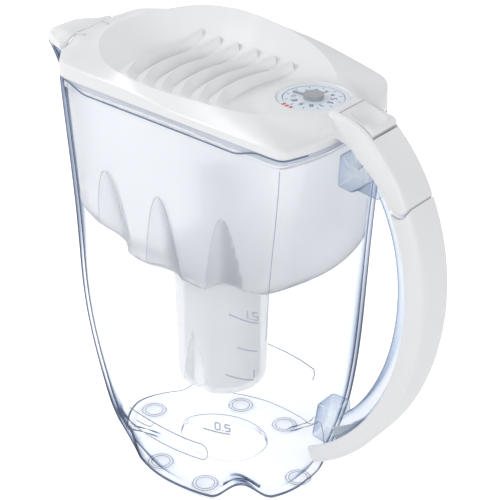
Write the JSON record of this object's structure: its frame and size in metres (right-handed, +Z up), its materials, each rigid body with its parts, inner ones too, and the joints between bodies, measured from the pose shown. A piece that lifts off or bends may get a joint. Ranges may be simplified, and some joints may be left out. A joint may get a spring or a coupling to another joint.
{
  "type": "water filter pitcher",
  "caption": "Clear water filter pitcher with a white flip lid, spout flap, thumb lever, date dial, drop-in funnel and filter cartridge.",
  "frame": {"origin": "under the middle of the overall length, at table level", "axes": "+X from the spout to the handle, +Y to the lid's high side, +Z up"},
  "size_m": [0.273, 0.1282, 0.2685],
  "materials": {
    "clear_plastic": "clear, faint blue tint, polished",
    "white_plastic": "white satin",
    "frosted_plastic": "translucent white, frosted",
    "cartridge_plastic": "translucent white",
    "dial_plastic": "pale blue-white",
    "grey_plastic": "mid grey",
    "seal_rubber": "soft grey",
    "media": "dark granules",
    "pin_steel": "plain"
  },
  "bodies": {
    "jug": {"jug_body": "clear_plastic", "foot_pads": "clear_plastic", "handle_core": "clear_plastic", "handle_cover": "white_plastic", "lid_hinge_pin": "pin_steel", "funnel": "frosted_plastic", "cartridge_housing": "cartridge_plastic", "cartridge_cap": "cartridge_plastic", "cartridge_grip": "cartridge_plastic", "cartridge_seal": "seal_rubber", "cartridge_screen": "cartridge_plastic", "filter_media": "media"},
    "lid": {"lid": "white_plastic", "calendar_tray": "dial_plastic", "calendar_axle": "grey_plastic", "lever_pin": "pin_steel", "lever_spring": "pin_steel"},
    "dial": {"calendar_dial": "dial_plastic", "calendar_knob": "grey_plastic"},
    "flap": {"spout_flap": "white_plastic"},
    "lever": {"thumb_lever": "white_plastic"}
  },
  "joints": [
    {"name": "lid_hinge", "type": "hinge", "parent": "jug", "child": "lid", "pos_m": [0.1183, 0, 0.20737], "axis": [0, 1, 0], "range_deg": [0, 55]},
    {"name": "flap_hinge", "type": "hinge", "parent": "lid", "child": "flap", "pos_m": [-0.10216, 0, 0.2473], "axis": [0, 1, 0], "range_deg": [0, 45]},
    {"name": "dial_turn", "type": "hinge", "parent": "lid", "child": "dial", "pos_m": [0.05534, 0, 0.2465], "axis": [0, 0, 1], "continuous": true},
    {"name": "lever_press", "type": "hinge", "parent": "lid", "child": "lever", "pos_m": [0.08834, 0, 0.23998], "axis": [0, 1, 0], "range_deg": [0, 8], "stiffness_Nm_per_rad": 0.3, "springref_deg": -2.86, "deforming": ["lever_spring"]}
  ]
}
